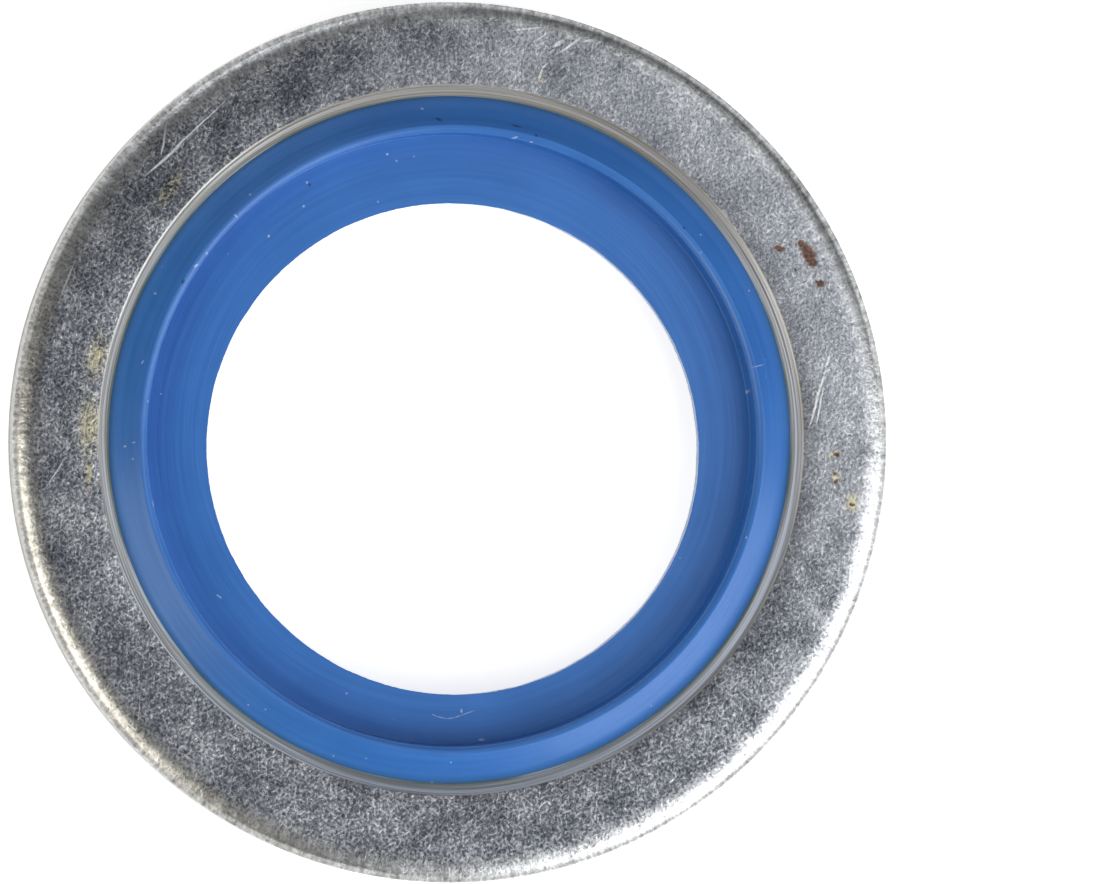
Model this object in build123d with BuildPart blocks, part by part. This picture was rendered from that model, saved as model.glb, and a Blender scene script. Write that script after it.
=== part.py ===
from build123d import *
import os
from math import radians, tan

# Bonded sealing washer, in millimetres: a blanked metal ring with an elastomer seal moulded into its bore.
# +Z is the ring's axis, and the origin is on that axis at half the ring's thickness. The rim that the
# blanking die rolled over is the upper one. Both sealing lips are equal.
# The washer is sized from the hole outwards, and every width is radial.

# Elastomer seal
hole_diameter = 10.10  # the trimmed hole, whose edge sits in the root of a bolt's thread
hole_shift_x = 0.10  # it is trimmed after moulding, and isn't quite central
hole_shift_y = -0.19
web_thickness = 0.35
web_width = 1.20  # from the mean edge of the hole to the inner edge of a lip's crest
root_radius = 0.12  # where a lip's inner wall meets the web
lip_draft = 5.0  # degrees that a lip's inner wall leans, for release from its mould
lip_height = 0.20  # how far each lip stands above its metal face
lip_width = 0.775  # from the inner edge of its crest to the bond with the metal
crest_width = 0.16
crest_rounding = 0.11

# Metal ring
ring_width = 1.975
ring_thickness = 1.5
bore_chamfer = 0.25
die_roll_width = 0.50  # how far inwards the upper rim is rolled over
die_roll_depth = 0.14
sheared_height = 0.48  # the straight, polished band below the die roll
torn_taper = 0.04  # how far the torn band below that leans in
lower_rim_break = 0.05  # the tumbled edge of the lower rim

crest_inner = hole_diameter / 2 + web_width
crest_outer = crest_inner + crest_width
bore_radius = crest_inner + lip_width
ring_radius = bore_radius + ring_width

face_height = ring_thickness / 2
rolled_height = face_height - die_roll_depth
torn_height = rolled_height - sheared_height
bond_height = face_height - bore_chamfer
crest_height = face_height + lip_height
web_top = web_thickness / 2
wall_foot = crest_inner - (crest_height - web_top) * tan(radians(lip_draft))


# The ring's outer side is a blanked one: the die roll curves into the sheared band, and the torn band below
# it leans in to the lower rim. Its bore is turned, with a chamfer at each face.
with BuildPart() as metal_ring:
    with BuildSketch(Plane.XZ):
        with BuildLine():
            Polyline(
                (ring_radius, rolled_height),
                (ring_radius, torn_height),
                (ring_radius - torn_taper, -face_height),
                (bore_radius, -face_height),
                (bore_radius, face_height),
                (ring_radius - die_roll_width, face_height),
            )
            TangentArc(
                (ring_radius - die_roll_width, face_height),
                (ring_radius, rolled_height),
                tangent=(1, 0),
            )
        make_face()
    revolve(axis=Axis.Z)
    bore_wall = metal_ring.faces().filter_by(GeomType.CYLINDER).sort_by(SortBy.AREA)[-1]
    chamfer(bore_wall.edges().filter_by(GeomType.CIRCLE), length=bore_chamfer)
    lower_rims = metal_ring.edges().filter_by(GeomType.CIRCLE).group_by(Axis.Z)[0]
    chamfer(lower_rims.sort_by(SortBy.RADIUS)[-1], length=lower_rim_break)
metal_ring.part.label = "metal_ring"


# The seal is bonded to the bore between its chamfers. From there each face rises in a cone to the lip's
# crest, drops down the drafted inner wall and runs on as the thin web, which the trimmed hole goes through.
with BuildPart() as rubber_seal:
    with BuildSketch(Plane.XZ):
        with BuildLine():
            Polyline(
                (0, 0),
                (0, web_top),
                (wall_foot, web_top),
                (crest_inner, crest_height),
                (crest_outer, crest_height),
                (bore_radius, bond_height),
                (bore_radius, 0),
            )
            mirror(about=Plane.XZ)
        make_face()
    revolve(axis=Axis.Z)
    for side in (1, -1):
        rims = rubber_seal.edges().filter_by(GeomType.CIRCLE)
        crest_rims = rims.filter_by_position(Axis.Z, side * crest_height, side * crest_height)
        fillet(crest_rims.sort_by(SortBy.RADIUS)[0], radius=min(crest_rounding, 0.9 * crest_width))
        rims = rubber_seal.edges().filter_by(GeomType.CIRCLE)
        web_rims = rims.filter_by_position(Axis.Z, side * web_top, side * web_top)
        fillet(web_rims, radius=root_radius)
    with Locations((hole_shift_x, hole_shift_y)):
        Hole(radius=hole_diameter / 2)
rubber_seal.part.label = "rubber_seal"


os.makedirs("parts", exist_ok=True)
export_step(metal_ring.part, "parts/metal_ring.step")
export_step(rubber_seal.part, "parts/rubber_seal.step")
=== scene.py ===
import math

import bmesh
import bpy
from mathutils import Matrix, Vector, noise


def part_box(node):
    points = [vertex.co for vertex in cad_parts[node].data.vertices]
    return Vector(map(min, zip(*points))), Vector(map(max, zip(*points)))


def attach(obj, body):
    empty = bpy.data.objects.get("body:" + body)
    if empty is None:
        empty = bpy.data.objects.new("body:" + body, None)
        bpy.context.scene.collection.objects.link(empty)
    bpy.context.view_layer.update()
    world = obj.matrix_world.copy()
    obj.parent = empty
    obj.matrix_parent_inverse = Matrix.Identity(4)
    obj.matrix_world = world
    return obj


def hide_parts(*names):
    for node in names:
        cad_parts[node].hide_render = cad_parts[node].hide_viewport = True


# Looks of a bonded sealing washer: a zinc-plated blanked ring and its blue moulded seal.
# Positions are in metres with +Z along the ring's axis. Names that end in _MM hold millimetres.

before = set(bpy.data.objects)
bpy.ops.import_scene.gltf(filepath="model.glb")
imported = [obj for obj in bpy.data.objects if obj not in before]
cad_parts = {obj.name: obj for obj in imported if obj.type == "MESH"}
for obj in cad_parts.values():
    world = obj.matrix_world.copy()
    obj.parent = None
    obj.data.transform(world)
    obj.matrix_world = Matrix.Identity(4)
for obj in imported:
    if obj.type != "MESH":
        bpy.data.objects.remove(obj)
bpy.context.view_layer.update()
MM = 0.001
WELD = 0.0005 * MM
SHARP_CORNER = math.radians(40.0)

ring_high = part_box("metal_ring")[1]
seal_low, seal_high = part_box("rubber_seal")
RING_RADIUS_MM = 9.0
FACE_HEIGHT_MM = ring_high.z / MM
CREST_HEIGHT_MM = seal_high.z / MM
FLOOR_HEIGHT = seal_low.z

# Metal ring
BORE_RADIUS_MM = 7.025
BORE_CHAMFER_MM = 0.25
WORN_CHAMFER_WIDTH_MM = 0.225
DIE_ROLL_WIDTH_MM = 0.50
DIE_ROLL_DEPTH_MM = 0.14
SHEARED_HEIGHT_MM = 0.48
TORN_TAPER_MM = 0.04
CHAMFER_ROUNDING_MM = 0.075
TURNING_MARKS = 4
POINTS_PER_MARK = 4
TURNING_DEPTH_MM = 0.003
TURNING_PHASE = 0.6
LOWER_RIM_MM = 0.05
RIM_ROUNDING_MM = 0.075
# How far the rounding's centre lies below the end of the roll, as a share of its radius
ROUNDING_DROP = 0.8
RIM_CENTRE_MM = Vector((0.0, -0.055))
SHIFT_FROM_RADIUS_MM = 7.5

# Rubber seal
CREST_INNER_MM = 6.27
CREST_WIDTH_MM = 0.16
CREST_ROUNDING_MM = 0.14
CREST_OUTER_ROUNDING_MM = 0.05
LIP_DRAFT = math.radians(2.0)
WEB_TOP_MM = 0.175
ROOT_RADIUS_MM = 0.025
HOLE_RADIUS_MM = 5.05
HOLE_CENTRE_MM = Vector((0.10, -0.19))
HOLE_OVAL_MM = 0.034
HOLE_LONG_WAY = math.radians(-23)
DRAWN_WEB_RADIUS_MM = CREST_INNER_MM - 0.25
# How far the trimmed edge wanders, and how often for each radian round the hole
SLOW_WANDER_MM, SLOW_WANDER_RATE = 0.008, 12
FAST_WANDER_MM, FAST_WANDER_RATE = 0.006, 70

# A ring is spun as one sector, which is then repeated
SECTORS = 24
STEPS_PER_SECTOR = 30


# ---------------------------------------------------------------- sections and rings

def arc(centre, radius, start, end, steps):
    """Points of an arc in the section plane, from start to end in degrees."""
    points = []
    for i in range(steps + 1):
        turn = math.radians(start + (end - start) * i / steps)
        points.append((centre[0] + radius * math.cos(turn), centre[1] + radius * math.sin(turn)))
    return points


def straight(start, end, steps):
    """Points between two corners of a section, without the corners themselves."""
    (r0, z0), (r1, z1) = start, end
    return [(r0 + (r1 - r0) * i / steps, z0 + (z1 - z0) * i / steps) for i in range(1, steps)]


def turned_from(section):
    """A closed section, in millimetres, spun once round the ring's axis."""
    bm = bmesh.new()
    verts = [bm.verts.new((r * MM, 0.0, z * MM)) for r, z in section]
    edges = [bm.edges.new((verts[i - 1], verts[i])) for i in range(len(verts))]
    sector = math.tau / SECTORS
    bmesh.ops.spin(
        bm, geom=verts + edges, cent=(0, 0, 0), axis=(0, 0, 1), dvec=(0, 0, 0),
        angle=sector, steps=STEPS_PER_SECTOR, use_merge=False, use_duplicate=False,
    )
    bmesh.ops.spin(
        bm, geom=bm.verts[:] + bm.edges[:] + bm.faces[:], cent=(0, 0, 0), axis=(0, 0, 1), dvec=(0, 0, 0),
        angle=math.tau - sector, steps=SECTORS - 1, use_merge=False, use_duplicate=True,
    )
    bmesh.ops.remove_doubles(bm, verts=bm.verts, dist=WELD)
    bmesh.ops.recalc_face_normals(bm, faces=bm.faces)
    return bm


def piece_from(bm, name, material):
    """A smooth shaded object made from a bmesh, with its corners left sharp."""
    mesh = bpy.data.meshes.new(name)
    bm.to_mesh(mesh)
    bm.free()
    mesh.shade_smooth()
    mesh.set_sharp_from_angle(angle=SHARP_CORNER)
    mesh.materials.append(material)
    piece = bpy.data.objects.new(name, mesh)
    bpy.context.scene.collection.objects.link(piece)
    return piece


def chamfer_marks():
    """The upper chamfer from the bore to the face: fine turning marks and a rounded upper edge."""
    foot = Vector((BORE_RADIUS_MM, FACE_HEIGHT_MM - BORE_CHAMFER_MM))
    full = Vector((WORN_CHAMFER_WIDTH_MM, BORE_CHAMFER_MM))
    slope = math.degrees(math.atan2(full.y, full.x))
    along = full.normalized()
    outward = Vector((-along.y, along.x))
    setback = CHAMFER_ROUNDING_MM * math.tan(math.radians(slope / 2))
    length = full.length - setback
    points = [tuple(foot)]
    steps = TURNING_MARKS * POINTS_PER_MARK
    for i in range(1, steps):
        depth = TURNING_DEPTH_MM * math.sin(math.tau * i / POINTS_PER_MARK + TURNING_PHASE)
        points.append(tuple(foot + along * length * i / steps - outward * (TURNING_DEPTH_MM + depth)))
    rounding_centre = (
        BORE_RADIUS_MM + WORN_CHAMFER_WIDTH_MM + setback,
        FACE_HEIGHT_MM - CHAMFER_ROUNDING_MM,
    )
    points += arc(rounding_centre, CHAMFER_ROUNDING_MM, 90 + slope, 90, 6)
    return points


def ring_section():
    """The blanked ring: die roll, sheared and torn bands outside, chamfers at the bore."""
    face, rim = FACE_HEIGHT_MM, RING_RADIUS_MM
    roll_start = rim - DIE_ROLL_WIDTH_MM
    roll_radius = (DIE_ROLL_WIDTH_MM ** 2 + DIE_ROLL_DEPTH_MM ** 2) / (2 * DIE_ROLL_DEPTH_MM)
    roll_end = math.degrees(math.asin((DIE_ROLL_WIDTH_MM - RIM_ROUNDING_MM) / roll_radius))
    section = chamfer_marks()
    section += straight(section[-1], (roll_start, face), 8)
    section += arc((roll_start, face - roll_radius), roll_radius, 90, 90 - roll_end, 16)
    last = section[-1]
    centre = (rim - RIM_ROUNDING_MM, last[1] - RIM_ROUNDING_MM * ROUNDING_DROP)
    rounding = arc(centre, RIM_ROUNDING_MM, 90 - roll_end, 0, 8)
    section += rounding[1:]
    torn_top = face - DIE_ROLL_DEPTH_MM - SHEARED_HEIGHT_MM
    section += straight(rounding[-1], (rim, torn_top), 3)
    section.append((rim, torn_top))
    lower = (rim - TORN_TAPER_MM, -face + LOWER_RIM_MM)
    section += straight((rim, torn_top), lower, 6)
    section += arc((lower[0] - LOWER_RIM_MM, lower[1]), LOWER_RIM_MM, 0, -90, 5)
    section += straight((lower[0] - LOWER_RIM_MM, -face), (BORE_RADIUS_MM + BORE_CHAMFER_MM, -face), 8)
    section.append((BORE_RADIUS_MM + BORE_CHAMFER_MM, -face))
    section.append((BORE_RADIUS_MM, -face + BORE_CHAMFER_MM))
    section.append((BORE_RADIUS_MM, face - BORE_CHAMFER_MM))
    return section


def seal_half_section():
    """The upper half of the seal's section, from the edge of the hole out to the bond."""
    crest, web = CREST_HEIGHT_MM, WEB_TOP_MM
    wall_foot = CREST_INNER_MM - (crest - web) * math.tan(LIP_DRAFT)
    draft = math.degrees(LIP_DRAFT)
    # centre of the fillet between the web and the leaning wall
    root_setback = ROOT_RADIUS_MM * math.tan(math.radians((90 - draft) / 2))
    root_centre = (wall_foot - root_setback, web + ROOT_RADIUS_MM)
    crest_setback = CREST_ROUNDING_MM * math.tan(math.radians((90 - draft) / 2))
    crest_centre = (CREST_INNER_MM + crest_setback, crest - CREST_ROUNDING_MM)
    points = [(HOLE_RADIUS_MM, web)]
    points += straight(points[0], (root_centre[0], web), 12)
    points += arc(root_centre, ROOT_RADIUS_MM, -90, -draft, 8)
    crest_arc = arc(crest_centre, CREST_ROUNDING_MM, 180 - draft, 90, 8)
    points += straight(points[-1], crest_arc[0], 6)
    points += crest_arc
    crest_outer = (CREST_INNER_MM + CREST_WIDTH_MM, crest)
    bond = (BORE_RADIUS_MM, FACE_HEIGHT_MM - BORE_CHAMFER_MM)
    slope = math.degrees(math.atan2(crest - bond[1], bond[0] - crest_outer[0]))
    outer_setback = CREST_OUTER_ROUNDING_MM * math.tan(math.radians(slope / 2))
    outer_centre = (crest_outer[0] - outer_setback, crest - CREST_OUTER_ROUNDING_MM)
    points += arc(outer_centre, CREST_OUTER_ROUNDING_MM, 90, 90 - slope, 6)
    points += straight(points[-1], bond, 8)
    points.append(bond)
    return points


def seal_section():
    """The whole section of the seal, which is the same above and below."""
    upper = seal_half_section()
    lower = [(r, -z) for r, z in reversed(upper)]
    return upper + lower


def shift_rim(bm):
    """The blanked rim lies a little off the bore's centre."""
    for v in bm.verts:
        share = min(1.0, max(0.0, v.co.xy.length / MM - SHIFT_FROM_RADIUS_MM))
        v.co.x += RIM_CENTRE_MM.x * share * MM
        v.co.y += RIM_CENTRE_MM.y * share * MM


def trim_hole(bm):
    """Draws the web in to the trimmed hole, which is off centre and a little ragged."""
    root = DRAWN_WEB_RADIUS_MM
    for v in bm.verts:
        radius = v.co.xy.length / MM
        if radius > root:
            continue
        share = (root - radius) / (root - HOLE_RADIUS_MM)
        heading = v.co.xy.normalized()
        angle = math.atan2(heading.y, heading.x)
        height = v.co.z / MM
        ragged = SLOW_WANDER_MM * noise.noise(Vector((angle * SLOW_WANDER_RATE, 0.0, height * 2)))
        ragged += FAST_WANDER_MM * noise.noise(Vector((angle * FAST_WANDER_RATE, 5.0, height * 4)))
        oval = HOLE_OVAL_MM * math.cos(2 * (angle - HOLE_LONG_WAY))
        edge = HOLE_CENTRE_MM + heading * (HOLE_RADIUS_MM + ragged + oval)
        start = heading * root
        flat = start.lerp(edge, share) * MM
        v.co.x, v.co.y = flat


# ---------------------------------------------------------------- materials

class Nodes:
    """A short way to write a material's node tree."""

    def __init__(self, name):
        self.material = bpy.data.materials.new(name)
        self.material.use_nodes = True
        self.tree = self.material.node_tree
        self.tree.nodes.clear()

    def add(self, kind, inputs=None, **settings):
        """A new node, with its settings, and with a value or a link for each named input."""
        node = self.tree.nodes.new(kind)
        for key, value in settings.items():
            setattr(node, key, value)
        for key, value in (inputs or {}).items():
            self.put(node.inputs[key], value)
        return node

    def put(self, socket, value):
        if isinstance(value, bpy.types.NodeSocket):
            self.tree.links.new(value, socket)
        elif isinstance(value, bpy.types.Node):
            self.tree.links.new(value.outputs[0], socket)
        else:
            socket.default_value = value

    def math(self, operation, *values, clamp=False):
        inputs = dict(enumerate(values))
        return self.add("ShaderNodeMath", inputs, operation=operation, use_clamp=clamp).outputs[0]

    def vector(self, operation, *values, scale=None):
        """Arithmetic on vectors. A length, a distance or a dot product comes out as a number."""
        inputs = dict(enumerate(values))
        if scale is not None:
            inputs["Scale"] = scale
        node = self.add("ShaderNodeVectorMath", inputs, operation=operation)
        number = operation in ("LENGTH", "DISTANCE", "DOT_PRODUCT")
        return node.outputs["Value" if number else "Vector"]

    def noise(self, vector, scale, detail=2.0, roughness=0.5):
        inputs = {"Vector": vector, "Scale": scale, "Detail": detail, "Roughness": roughness}
        return self.add("ShaderNodeTexNoise", inputs).outputs[0]

    def ramp(self, value, stops):
        """A colour for each of a few values, and blends between them."""
        node = self.add("ShaderNodeValToRGB", {0: value})
        elements = node.color_ramp.elements
        while len(elements) < len(stops):
            elements.new(0.5)
        for element, (position, colour) in zip(elements, stops):
            element.position = position
            element.color = (*colour, 1)
        return node.outputs[0]

    def span(self, value, low, high):
        """0 at low and beyond it, 1 at high and beyond it, and smooth between. Low may be the larger."""
        inputs = {0: value, 1: low, 2: high, 3: 0.0, 4: 1.0}
        return self.add("ShaderNodeMapRange", inputs, interpolation_type="SMOOTHSTEP").outputs[0]

    def mix(self, share, first, second):
        node = self.add("ShaderNodeMix", data_type="RGBA")
        self.put(node.inputs["Factor"], share)
        self.put(node.inputs["A"], first)
        self.put(node.inputs["B"], second)
        return node.outputs["Result"]

    def polar(self, heading, outwards, round_about):
        """A place for streaks: the way round the ring, and a distance along or across its section."""
        around = self.vector("SCALE", heading, scale=round_about)
        lift = self.add("ShaderNodeCombineXYZ", {"Z": outwards}).outputs[0]
        return self.vector("ADD", around, lift)

    def laid(self, vector, centre, turn, size):
        """A pattern's own coordinates, for a pattern of this size, laid here and turned so."""
        inputs = {"Vector": vector, "Location": centre, "Rotation": (0, 0, turn), "Scale": size}
        return self.add("ShaderNodeMapping", inputs, vector_type="TEXTURE").outputs[0]

    def patch(self, flat, centre, length, width, turn, softness=0.5):
        """1 inside an oval patch of the face, and 0 outside it."""
        local = self.laid(flat, (*centre, 0), turn, (length / 2, width / 2, 1))
        return self.span(self.vector("LENGTH", local), 1 + softness, 1 - softness)

    def most(self, masks):
        """The largest of several masks."""
        total = masks[0]
        for mask in masks[1:]:
            total = self.math("MAXIMUM", total, mask)
        return total

    def spots(self, flat, table, softness=0.5):
        """Oval spots: x, y, length, width and the degrees that the length is turned from +X."""
        masks = [self.patch(flat, (x, y), length, width, math.radians(turn), softness)
                 for x, y, length, width, turn in table]
        return self.most(masks)

    def lines(self, flat, table):
        """Straight scratches or hairs: the x and y of both ends, and the width."""
        masks = []
        for x0, y0, x1, y1, width in table:
            length = math.hypot(x1 - x0, y1 - y0)
            turn = math.atan2(y1 - y0, x1 - x0)
            masks.append(self.patch(flat, ((x0 + x1) / 2, (y0 + y1) / 2), length, width, turn, 0.4))
        return self.most(masks)


def in_millimetres(n):
    """Object coordinates in millimetres: the place, its flat part, radius, heading and height."""
    where = n.add("ShaderNodeTexCoord").outputs["Object"]
    place = n.vector("SCALE", where, scale=1 / MM)
    flat = n.vector("MULTIPLY", place, (1, 1, 0))
    radius = n.vector("LENGTH", flat)
    heading = n.vector("NORMALIZE", flat)
    height = n.add("ShaderNodeSeparateXYZ", {0: place}).outputs["Z"]
    return place, flat, radius, heading, height


def roughened(n, flat, place, size, amount):
    """A flat place moved about by noise, so that what is drawn on it gets a ragged outline."""
    inputs = {"Vector": place, "Scale": 1 / size, "Detail": 1.0}
    wobble = n.add("ShaderNodeTexNoise", inputs).outputs["Color"]
    centred = n.vector("SUBTRACT", wobble, (0.5, 0.5, 0.5))
    return n.vector("ADD", flat, n.vector("MULTIPLY", centred, (amount, amount, 0)))


def side_at(degrees):
    """The unit direction at an angle about the axis, from +X."""
    return (math.cos(math.radians(degrees)), math.sin(math.radians(degrees)), 0)


# The plating is finer grained on one side. Painted shade darkens the face on another side, and darkens
# it next to the bore on a third, where painted light brightens it on the opposite side. Painted shade
# darkens and browns the chamfer on a fourth.
FINER_SIDE = side_at(38)
SHADED_SIDE = side_at(122)
BORE_SHADE_SIDE = side_at(-18)
CHAMFER_SHADE_SIDE = side_at(75)

# The plating's crystals
GRAINS_PER_MM = 15.0
CLOUDS_PER_MM = 1.1
NEEDLE_LENGTH_MM = 0.22
NEEDLE_WIDTH_MM = 0.046
NEEDLE_TURNS = (28, 84, 141)
GRAIN_SHARE, CLOUD_SHARE, NEEDLE_SHARE = 0.36, 0.22, 0.42

# Where the finishes of the ring begin and end: radii, and heights above mid-plane, in millimetres.
# The roll, the worn edge and the side wall are measured from the rim's own centre.
# The first pair is where painted shade and painted light lie next to the bore.
BORE_SHADE_AND_LIGHT_MM = (7.85, 7.38)
ROUNDED_FROM_MM = (7.34, 7.29)
ROUNDED_TO_MM = (7.21, 7.25)
CHAMFERED_MM = (7.28, 7.25)
LESS_METAL_MM = (7.235, 7.21)
FLUX_CORNER_MM = (7.085, 7.035)
ROLLED_MM = (8.36, 8.84)
WORN_EDGE_MM = (8.86, 8.92)
SIDE_WALL_MM = (8.93, 8.95)
SIDE_HEIGHTS_MM = (0.60, 0.57)
TORN_HEIGHTS_MM = (0.31, 0.23)

# Finish of the plating
PLATED_ROUGHNESS = 0.42
SMOOTHER_ROLL = 0.11
WORN_EDGE_ROUGHNESS = 0.30
ROUNDED_ROUGHNESS = 0.22
DULL_ROUGHNESS = 0.80

# Marks on the upper metal face, in millimetres from the axis
RUST = [
    (7.36, 3.80, 0.50, 0.26, -62), (7.43, 3.64, 0.24, 0.20, -75), (7.22, 4.00, 0.15, 0.11, -60),
    (6.76, 3.91, 0.25, 0.12, -12), (7.61, 3.21, 0.16, 0.13, 10), (7.54, 3.25, 0.08, 0.05, -30),
    (7.94, -0.31, 0.13, 0.10, 0), (7.90, -0.70, 0.08, 0.07, 0), (7.94, -0.86, 0.09, 0.10, 0),
    (8.21, 0.10, 0.08, 0.05, 20), (8.26, -1.33, 0.12, 0.08, 0), (7.09, 3.48, 0.05, 0.06, 0),
]
YELLOWED = [
    (-7.27, 1.70, 0.76, 0.30, 77), (-7.44, 0.28, 0.95, 0.32, 88), (-7.45, -0.70, 0.60, 0.12, 94),
    (7.90, -0.30, 0.18, 0.13, 0), (1.84, 7.37, 0.16, 0.10, 80), (7.92, -0.78, 0.26, 0.18, 90),
    (-5.80, 5.10, 0.55, 0.20, 55), (8.26, -1.30, 0.34, 0.22, 80),
]
SCRATCHES = [
    (7.69, 1.35, 7.40, 0.33, 0.050), (7.68, 1.06, 7.52, 0.31, 0.036), (7.81, 1.75, 7.74, 1.52, 0.045),
    (7.81, 1.43, 7.70, 1.38, 0.040), (-6.20, 5.46, -4.69, 6.87, 0.030),
    (-6.24, 5.43, -5.55, 6.02, 0.045), (-5.86, 6.46, -5.96, 5.83, 0.035),
    (-5.76, 6.66, -5.54, 6.70, 0.032), (1.20, 8.36, 1.94, 8.44, 0.030),
    (1.75, 8.17, 1.94, 8.31, 0.040), (2.09, 8.04, 2.29, 8.16, 0.085), (2.23, 7.92, 2.69, 8.24, 0.048),
    (2.72, 8.14, 2.94, 8.19, 0.045), (1.80, 7.36, 1.87, 7.60, 0.042), (1.87, 7.60, 1.98, 7.69, 0.032),
    (-8.05, 2.85, -7.75, 3.60, 0.028), (-8.30, -0.95, -7.95, -0.40, 0.026),
]


def zinc_plate():
    n = Nodes("zinc_plate")
    place, flat, radius, heading, height = in_millimetres(n)
    upper = n.span(height, 0.0, 0.1)

    # crystalline speckle of the plated faces: grains, with short needles lying three ways
    grain = n.noise(place, GRAINS_PER_MM, detail=3.0, roughness=0.6)
    clouds = n.noise(place, CLOUDS_PER_MM, detail=3.0, roughness=0.6)
    ragged = roughened(n, flat, place, 0.12, 0.10)
    layers = []
    for turn in NEEDLE_TURNS:
        along = n.laid(ragged, (0, 0, 0), math.radians(turn), (NEEDLE_LENGTH_MM, NEEDLE_WIDTH_MM, 1.0))
        layers.append(n.noise(along, 1.0, detail=1.0))
    needles = n.most(layers)
    speckle = n.math("MULTIPLY_ADD", grain, GRAIN_SHARE, n.math("MULTIPLY", clouds, CLOUD_SHARE))
    speckle = n.math("MULTIPLY_ADD", needles, NEEDLE_SHARE, speckle)
    coarse_tone = n.ramp(speckle, [
        (0.43, (0.068, 0.073, 0.090)), (0.50, (0.165, 0.173, 0.200)), (0.55, (0.29, 0.300, 0.330)),
        (0.61, (0.54, 0.55, 0.58)), (0.69, (0.95, 0.95, 0.97)),
    ])
    fine_tone = n.ramp(speckle, [
        (0.42, (0.20, 0.210, 0.235)), (0.50, (0.32, 0.332, 0.365)), (0.56, (0.43, 0.443, 0.475)),
        (0.67, (0.80, 0.81, 0.84)),
    ])
    toward_finer = n.vector("DOT_PRODUCT", heading, FINER_SIDE)
    toward_finer = n.math("MULTIPLY_ADD", n.math("SUBTRACT", clouds, 0.5), 1.2, toward_finer)
    face_tone = n.mix(n.span(toward_finer, 0.10, 0.85), coarse_tone, fine_tone)
    # painted shade darkens the face next to the chamfer on one side, and painted light brightens it on
    # the other
    toward_bore_shade = n.vector("DOT_PRODUCT", heading, BORE_SHADE_SIDE)
    bore_shade_and_light = n.math("MULTIPLY", n.span(radius, *BORE_SHADE_AND_LIGHT_MM), toward_bore_shade)
    painted_light_and_shade_gain = n.math("MULTIPLY_ADD", bore_shade_and_light, -0.38, 1.0)
    # painted shade: the face is darkened towards one side
    toward_shaded_side = n.vector("DOT_PRODUCT", heading, SHADED_SIDE)
    painted_side_shade = n.math("MULTIPLY_ADD", n.span(toward_shaded_side, 0.70, 1.0), -0.30, 1.0)
    face_tone = n.vector("SCALE", face_tone, scale=n.math("MULTIPLY", painted_light_and_shade_gain, painted_side_shade))

    scratched = n.math("MULTIPLY", n.lines(roughened(n, flat, place, 0.35, 0.05), SCRATCHES), upper)
    scratched = n.math("MULTIPLY", scratched, 0.8)

    # the rolled rim is smoother, with marks drawn over the edge
    outer = n.vector("DISTANCE", flat, (*RIM_CENTRE_MM, 0))
    uneven = n.math("MULTIPLY_ADD", n.math("SUBTRACT", speckle, 0.56), 1.1, outer)
    rolled = n.span(uneven, *ROLLED_MM)
    drawn = n.noise(n.polar(heading, n.math("MULTIPLY", radius, 3.0), 95.0), 1.0)
    roll_level = n.math("MULTIPLY_ADD", drawn, 0.30, n.math("MULTIPLY", speckle, 0.70))
    roll_tone = n.ramp(roll_level, [
        (0.40, (0.25, 0.25, 0.26)), (0.52, (0.58, 0.58, 0.58)), (0.64, (0.92, 0.92, 0.92)),
    ])
    tone = n.mix(rolled, face_tone, roll_tone)
    tone = n.mix(scratched, tone, (0.93, 0.94, 0.95, 1))

    # below the roll: a burnished band, then a torn one
    side = n.math("MULTIPLY", n.span(outer, *SIDE_WALL_MM), n.span(height, *SIDE_HEIGHTS_MM))
    upright = n.noise(n.polar(heading, n.math("MULTIPLY", height, 2.5), 110.0), 1.0, detail=3.0)
    jagged = n.noise(n.polar(heading, 0.0, 9.0), 1.0, detail=3.0)
    tear_line = n.math("MULTIPLY_ADD", jagged, 0.30, height)
    torn = n.math("MULTIPLY", side, n.span(tear_line, *TORN_HEIGHTS_MM))
    side_tone = n.ramp(upright, [(0.3, (0.48, 0.48, 0.49)), (0.7, (0.68, 0.68, 0.68))])
    torn_tone = n.ramp(upright, [(0.3, (0.50, 0.50, 0.51)), (0.7, (0.72, 0.72, 0.73))])
    tone = n.mix(side, tone, side_tone)
    tone = n.mix(torn, tone, torn_tone)

    # the turned chamfer, with flux left in the corner against the rubber
    chamfered = n.span(radius, *CHAMFERED_MM)
    turned = n.noise(n.polar(heading, n.math("MULTIPLY", radius, 26.0), 1.6), 1.0)
    turned_tone = n.ramp(turned, [
        (0.34, (0.34, 0.31, 0.25)), (0.5, (0.60, 0.57, 0.50)), (0.66, (0.90, 0.88, 0.82)),
    ])
    here_and_there = n.span(n.noise(place, 0.5, detail=1.0), 0.35, 0.65)
    corner = n.math("MULTIPLY", n.span(radius, *FLUX_CORNER_MM), here_and_there)
    turned_tone = n.mix(corner, turned_tone, (0.22, 0.24, 0.13, 1))
    # painted shade: the chamfer is darkened and browned towards one side
    toward_chamfer_shade = n.vector("DOT_PRODUCT", heading, CHAMFER_SHADE_SIDE)
    painted_chamfer_shade = n.math("MULTIPLY", n.span(toward_chamfer_shade, 0.55, 0.95), 0.55)
    turned_tone = n.mix(painted_chamfer_shade, turned_tone, (0.25, 0.22, 0.18, 1))
    tone = n.mix(chamfered, tone, turned_tone)

    # stains and rust
    stain = n.math("MULTIPLY", n.spots(ragged, YELLOWED, 0.9), upper)
    stain = n.math("MULTIPLY", stain, n.span(speckle, 0.47, 0.58))
    tone = n.mix(n.math("MULTIPLY", stain, 0.85), tone, (0.78, 0.70, 0.42, 1))
    rust = n.math("MULTIPLY", n.spots(ragged, RUST, 0.35), upper)
    rust_tone = n.mix(n.span(grain, 0.36, 0.64), (0.040, 0.016, 0.008, 1), (0.19, 0.062, 0.014, 1))
    tone = n.mix(n.math("MULTIPLY", rust, 0.92), tone, rust_tone)

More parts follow.
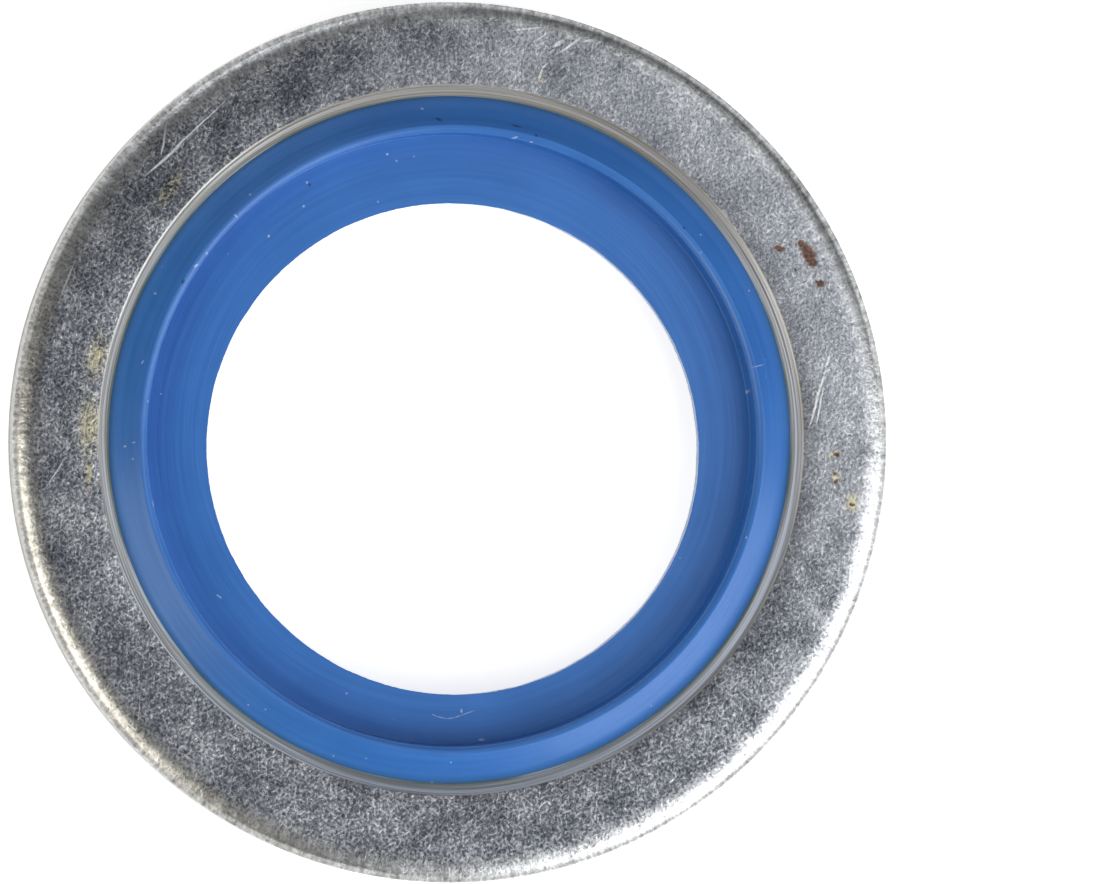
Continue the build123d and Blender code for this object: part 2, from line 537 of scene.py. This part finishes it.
    smooth = n.math("MAXIMUM", chamfered, n.math("MULTIPLY", rolled, 0.55))
    relief = n.math("MULTIPLY", grain, n.math("SUBTRACT", 1.0, smooth))
    bump = n.add("ShaderNodeBump", {"Strength": 0.5, "Distance": 0.03 * MM, "Height": relief})
    less_metal = n.math("MULTIPLY", n.span(radius, *LESS_METAL_MM), 0.72)
    metallic = n.math("SUBTRACT", 1.0, n.math("MAXIMUM", less_metal, rust))
    metallic = n.math("SUBTRACT", metallic, n.math("MULTIPLY", torn, 0.85))
    rough = n.math("SUBTRACT", PLATED_ROUGHNESS, n.math("MULTIPLY", rolled, SMOOTHER_ROLL))
    rough = n.math("MULTIPLY_ADD", n.span(outer, *WORN_EDGE_MM), WORN_EDGE_ROUGHNESS, rough)
    rounded = n.math("MULTIPLY", n.span(radius, *ROUNDED_FROM_MM), n.span(radius, *ROUNDED_TO_MM))
    rough = n.math("MULTIPLY_ADD", rounded, ROUNDED_ROUGHNESS, rough)
    dull = n.math("MULTIPLY", n.math("MAXIMUM", rust, torn), DULL_ROUGHNESS)
    rough = n.math("MAXIMUM", rough, dull)
    surface = n.add("ShaderNodeBsdfPrincipled", {
        "Base Color": tone, "Metallic": metallic, "Roughness": rough, "Normal": bump,
    })
    n.add("ShaderNodeOutputMaterial", {"Surface": surface})
    return n.material


# Dust on the upper side of the rubber, in millimetres from the axis
PALE_SPECKS = [
    (-6.08, 2.98, 0.05, 0.04, 0), (-5.27, 3.55, 0.09, 0.04, 40), (-5.05, 3.80, 0.06, 0.04, 80),
    (-4.46, 4.56, 0.10, 0.03, 140), (-2.91, 5.26, 0.05, 0.05, 0), (-3.70, 4.16, 0.05, 0.05, 0),
    (-2.98, 4.77, 0.05, 0.05, 0), (-0.60, 6.76, 0.05, 0.04, 0), (1.28, 6.17, 0.12, 0.035, 15),
    (1.62, 6.08, 0.07, 0.03, 0), (-1.26, 5.84, 0.05, 0.05, 0), (6.16, 0.98, 0.07, 0.035, 80),
    (6.05, -2.00, 0.04, 0.04, 0), (0.68, -6.14, 0.14, 0.04, 0), (-6.71, -0.14, 0.05, 0.04, 0),
    (-6.54, -0.06, 0.05, 0.03, 20), (-6.36, 1.58, 0.08, 0.03, 60), (-6.14, -1.30, 0.10, 0.03, 100),
    (0.27, -5.55, 0.035, 0.08, 0), (-4.72, -3.20, 0.12, 0.03, -35), (0.12, -5.19, 0.05, 0.04, 0),
]
DARK_SPECKS = [
    (-5.54, 3.22, 0.09, 0.06, 60), (-0.28, 6.54, 0.15, 0.05, -25), (1.32, 6.41, 0.22, 0.035, -15),
    (1.72, 6.21, 0.06, 0.05, 0), (-2.86, 5.21, 0.06, 0.06, 0), (4.76, 4.33, 0.06, 0.05, 0),
]
DUST_PER_MM = 2.9
HAIRS = [
    (-0.34, -5.61, -0.25, -5.66, 0.015), (-0.25, -5.66, -0.04, -5.71, 0.016),
    (-0.04, -5.71, 0.13, -5.69, 0.016), (0.13, -5.69, 0.26, -5.64, 0.016),
    (0.26, -5.64, 0.52, -5.55, 0.015), (6.17, 1.48, 6.43, 1.54, 0.015),
]


# Where the seal's painted shade by the bond and painted highlight at the hole begin and end, in
# millimetres
BOND_SHADE_MM = (6.88, 7.01)
AT_HOLE_MM = (5.14, 5.11)
HOLE_EDGE_HEIGHTS_MM = (0.13, 0.17)

# The moulding's flow lines: how close together, and how far each one runs round
FLOW_LINES_PER_MM = 9.0
FLOW_LINE_CHANGE = 1.3


def blue_elastomer():
    n = Nodes("blue_elastomer")
    place, flat, radius, heading, height = in_millimetres(n)
    upper = n.span(height, 0.0, 0.1)

    # flow lines of the moulding, which run round the ring
    across = n.math("MULTIPLY", radius, FLOW_LINES_PER_MM)
    rings = n.noise(n.polar(heading, across, FLOW_LINE_CHANGE), 1.0, detail=3.0, roughness=0.6)
    mottle = n.noise(place, 0.7)
    level = n.math("MULTIPLY_ADD", rings, 0.6, n.math("MULTIPLY", mottle, 0.4))
    colour = n.ramp(level, [(0.35, (0.031, 0.148, 0.480)), (0.65, (0.044, 0.186, 0.560))])
    # painted shade: the rubber is darkened next to the bond with the metal
    painted_bond_shade = n.math("MULTIPLY", n.span(radius, *BOND_SHADE_MM), 0.45)
    colour = n.mix(painted_bond_shade, colour, (0.025, 0.11, 0.24, 1))
    # painted highlight: the hole's cut wall is paled
    at_hole = n.span(n.vector("DISTANCE", flat, (*HOLE_CENTRE_MM, 0)), *AT_HOLE_MM)
    on_edge = n.math("SUBTRACT", 1.0, n.span(n.math("ABSOLUTE", height), *HOLE_EDGE_HEIGHTS_MM))
    trimmed = n.math("MULTIPLY", at_hole, on_edge)
    colour = n.mix(n.math("MULTIPLY", trimmed, 0.7), colour, (0.42, 0.55, 0.75, 1))

    # dust and a hair
    ragged = roughened(n, flat, place, 0.05, 0.03)
    cells = n.add("ShaderNodeTexVoronoi", {"Vector": place, "Scale": DUST_PER_MM})
    chosen = n.add("ShaderNodeSeparateColor", {0: cells.outputs["Color"]}).outputs["Red"]
    near_centre = n.span(cells.outputs["Distance"], 0.085, 0.045)
    dust = n.math("MULTIPLY", near_centre, n.span(chosen, 0.70, 0.85))
    pale = n.most([n.spots(ragged, PALE_SPECKS), n.lines(flat, HAIRS), n.math("MULTIPLY", dust, 0.75)])
    pale = n.math("MULTIPLY", pale, upper)
    dark = n.math("MULTIPLY", n.spots(ragged, DARK_SPECKS), upper)
    colour = n.mix(n.math("MULTIPLY", pale, 0.55), colour, (0.62, 0.70, 0.82, 1))
    colour = n.mix(n.math("MULTIPLY", dark, 0.75), colour, (0.012, 0.025, 0.09, 1))
    bump = n.add("ShaderNodeBump", {"Strength": 0.35, "Distance": 0.02 * MM, "Height": rings})
    surface = n.add("ShaderNodeBsdfPrincipled", {
        "Base Color": colour, "Roughness": 0.34, "Specular IOR Level": 0.5, "Normal": bump,
    })
    n.add("ShaderNodeOutputMaterial", {"Surface": surface})
    return n.material


FLOOR_GLOW = 0.68


def pale_floor():
    """White paper: lifted to white where it is seen or mirrored in metal, and it keeps its shadow."""
    n = Nodes("pale_floor")
    path = n.add("ShaderNodeLightPath")
    seen = n.math("ADD", path.outputs["Is Camera Ray"], path.outputs["Is Glossy Ray"])
    seen = n.math("ADD", seen, path.outputs["Is Transmission Ray"], clamp=True)
    paper = n.add("ShaderNodeBsdfDiffuse", {"Color": (0.8, 0.8, 0.8, 1)})
    strength = n.math("MULTIPLY", seen, FLOOR_GLOW)
    glow = n.add("ShaderNodeEmission", {"Color": (1, 1, 1, 1), "Strength": strength})
    surface = n.add("ShaderNodeAddShader", {0: paper, 1: glow})
    n.add("ShaderNodeOutputMaterial", {"Surface": surface})
    return n.material


# ---------------------------------------------------------------- camera, light and floor

IMAGE_WIDTH, IMAGE_HEIGHT = 1116, 884
PIXELS_PER_MM = 48.95
WASHER_AT_PIXEL = Vector((451.8, 439.7))
LENS = 525.0
SENSOR = 36.0
LEAN_TO_LEFT = math.radians(7.4)

ROOM_COLOUR = (0.86, 0.93, 1.0, 1)
ROOM_LIGHT = 0.07
COOL = (0.96, 0.98, 1.0)
COOLER = (0.94, 0.97, 1.0)
WARM = (1.0, 0.94, 0.80)


def overhead_camera():
    camera = bpy.data.objects.new("camera", bpy.data.cameras.new("camera"))
    bpy.context.scene.collection.objects.link(camera)
    camera.data.sensor_width = SENSOR
    camera.data.lens = LENS
    distance = LENS / SENSOR * IMAGE_WIDTH / PIXELS_PER_MM * MM
    turn = Matrix.Rotation(-LEAN_TO_LEFT, 3, "Y")
    back = turn @ Vector((0, 0, 1))
    right = turn @ Vector((1, 0, 0))
    offset = (Vector((IMAGE_WIDTH / 2, IMAGE_HEIGHT / 2)) - WASHER_AT_PIXEL) / PIXELS_PER_MM * MM
    target = Vector((0, 0, FACE_HEIGHT_MM * MM)) + right * offset.x + Vector((0, -1, 0)) * offset.y
    camera.location = target + back * distance
    camera.rotation_euler = turn.to_euler()
    camera.data.clip_start = distance * 0.05
    camera.data.clip_end = distance * 20
    bpy.context.scene.camera = camera


def softbox(name, azimuth, elevation, distance, size, strength, colour):
    """A rectangular lamp aimed at the washer. Azimuth and elevation are in degrees."""
    light = bpy.data.lights.new(name, "AREA")
    light.shape = "RECTANGLE"
    light.size, light.size_y = size
    light.color = colour
    light.energy = strength * math.pi * size[0] * size[1]
    lamp = bpy.data.objects.new(name, light)
    a, e = math.radians(azimuth), math.radians(elevation)
    toward = Vector((math.cos(a) * math.cos(e), math.sin(a) * math.cos(e), math.sin(e)))
    lamp.location = toward * distance
    lamp.rotation_euler = toward.to_track_quat("Z", "Y").to_euler()
    lamp.visible_camera = False
    bpy.context.scene.collection.objects.link(lamp)


def studio():
    world = bpy.data.worlds.new("studio")
    world.use_nodes = True
    room = world.node_tree.nodes["Background"]
    room.inputs["Color"].default_value = ROOM_COLOUR
    room.inputs["Strength"].default_value = ROOM_LIGHT
    bpy.context.scene.world = world
    softbox("key", -37, 31, 0.11, (0.122, 0.112), 2.95, COOL)
    softbox("overhead", 8, 66, 0.07, (0.075, 0.034), 1.25, COOL)
    softbox("warm_fill", -153, 38, 0.11, (0.072, 0.078), 3.2, WARM)
    softbox("low_back", 112, 36, 0.11, (0.062, 0.030), 2.7, COOLER)
    bm = bmesh.new()
    bmesh.ops.create_grid(bm, x_segments=1, y_segments=1, size=1.0)
    bmesh.ops.translate(bm, verts=bm.verts, vec=(0, 0, FLOOR_HEIGHT))
    floor = piece_from(bm, "floor", pale_floor())


# ---------------------------------------------------------------- the washer

overhead_camera()
studio()

ring_mesh = turned_from(ring_section())
shift_rim(ring_mesh)
metal_ring = piece_from(ring_mesh, "zinc_ring", zinc_plate())
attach(metal_ring, "root")
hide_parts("metal_ring")

seal_mesh = turned_from(seal_section())
trim_hole(seal_mesh)
lipped_seal = piece_from(seal_mesh, "lipped_seal", blue_elastomer())
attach(lipped_seal, "root")
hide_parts("rubber_seal")

bpy.context.scene.view_settings.view_transform = "Standard"
